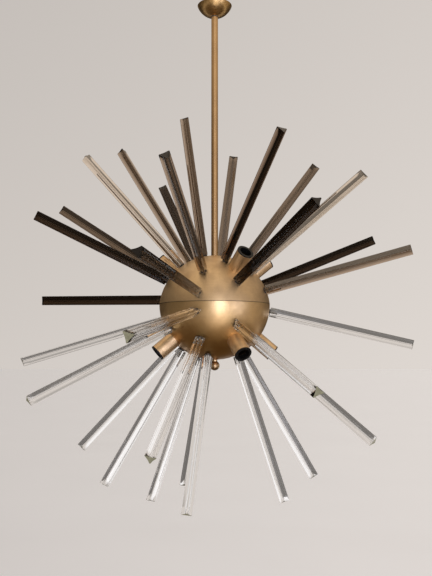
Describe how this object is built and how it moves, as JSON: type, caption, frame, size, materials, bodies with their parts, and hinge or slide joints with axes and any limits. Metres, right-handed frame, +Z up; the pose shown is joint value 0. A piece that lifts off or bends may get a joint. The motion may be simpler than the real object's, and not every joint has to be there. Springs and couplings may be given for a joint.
{
  "type": "chandelier",
  "caption": "Ceiling light with a brass ball on a long stem, smoked and clear three-edged glass rods standing out all round it, and screw lampholders in short brass cups.",
  "frame": {"origin": "on the ceiling, at the middle of the two ceiling screw holes, on the stem's axis", "axes": "+Z up, out of the ceiling face; -Y is the front of the light; +X to the right seen from the front"},
  "size_m": [0.9835, 0.9759, 1.2428],
  "materials": {
    "ball_brass": "aged, satin, faintly spun",
    "stem_brass": "aged, satin",
    "canopy_brass": "aged, satin",
    "cup_brass": "warm, polished",
    "finial_brass": "aged, polished",
    "contact_brass": "bright",
    "zinc_steel": "zinc plated",
    "smoked_glass": "cast, smoked grey-brown",
    "clear_glass": "cast, clear",
    "black_moulding": "black thermoset",
    "bush_nylon": "dark nylon",
    "dark_washer": "dark fibre and rubber"
  },
  "bodies": {
    "fixture": {"ceiling_bracket": "zinc_steel", "clear_rod_01": "clear_glass", "clear_rod_02": "clear_glass", "clear_rod_03": "clear_glass", "clear_rod_04": "clear_glass", "clear_rod_05": "clear_glass", "clear_rod_06": "clear_glass", "clear_rod_07": "clear_glass", "clear_rod_08": "clear_glass", "clear_rod_09": "clear_glass", "clear_rod_10": "clear_glass", "clear_rod_11": "clear_glass", "clear_rod_12": "clear_glass", "clear_rod_13": "clear_glass", "clear_rod_14": "clear_glass", "clear_rod_15": "clear_glass", "finial": "finial_brass", "joining_ring": "ball_brass", "lampholder_1": "black_moulding", "lampholder_2": "black_moulding", "lampholder_3": "black_moulding", "lampholder_4": "black_moulding", "lampholder_5": "black_moulding", "lampholder_6": "black_moulding", "lampholder_contacts": "contact_brass", "lampholder_cup_1": "cup_brass", "lampholder_cup_2": "cup_brass", "lampholder_cup_3": "cup_brass", "lampholder_cup_4": "cup_brass", "lampholder_cup_5": "cup_brass", "lampholder_cup_6": "cup_brass", "lower_dome": "ball_brass", "nipple_nuts": "zinc_steel", "rod_nuts": "zinc_steel", "rod_studs": "zinc_steel", "rod_washers": "dark_washer", "smoked_rod_01": "smoked_glass", "smoked_rod_02": "smoked_glass", "smoked_rod_03": "smoked_glass", "smoked_rod_04": "smoked_glass", "smoked_rod_05": "smoked_glass", "smoked_rod_06": "smoked_glass", "smoked_rod_07": "smoked_glass", "smoked_rod_08": "smoked_glass", "smoked_rod_09": "smoked_glass", "smoked_rod_10": "smoked_glass", "smoked_rod_11": "smoked_glass", "smoked_rod_12": "smoked_glass", "smoked_rod_13": "smoked_glass", "smoked_rod_14": "smoked_glass", "smoked_rod_15": "smoked_glass", "smoked_rod_16": "smoked_glass", "smoked_rod_17": "smoked_glass", "stem": "stem_brass", "threaded_nipples": "zinc_steel", "tie_tube": "zinc_steel", "upper_dome": "ball_brass"},
    "canopy": {"canopy": "canopy_brass", "canopy_bush": "bush_nylon"}
  },
  "joints": [
    {"name": "canopy_slide", "type": "slide", "parent": "fixture", "child": "canopy", "axis": [0, 0, 1], "range_m": [-0.25, 0]}
  ]
}
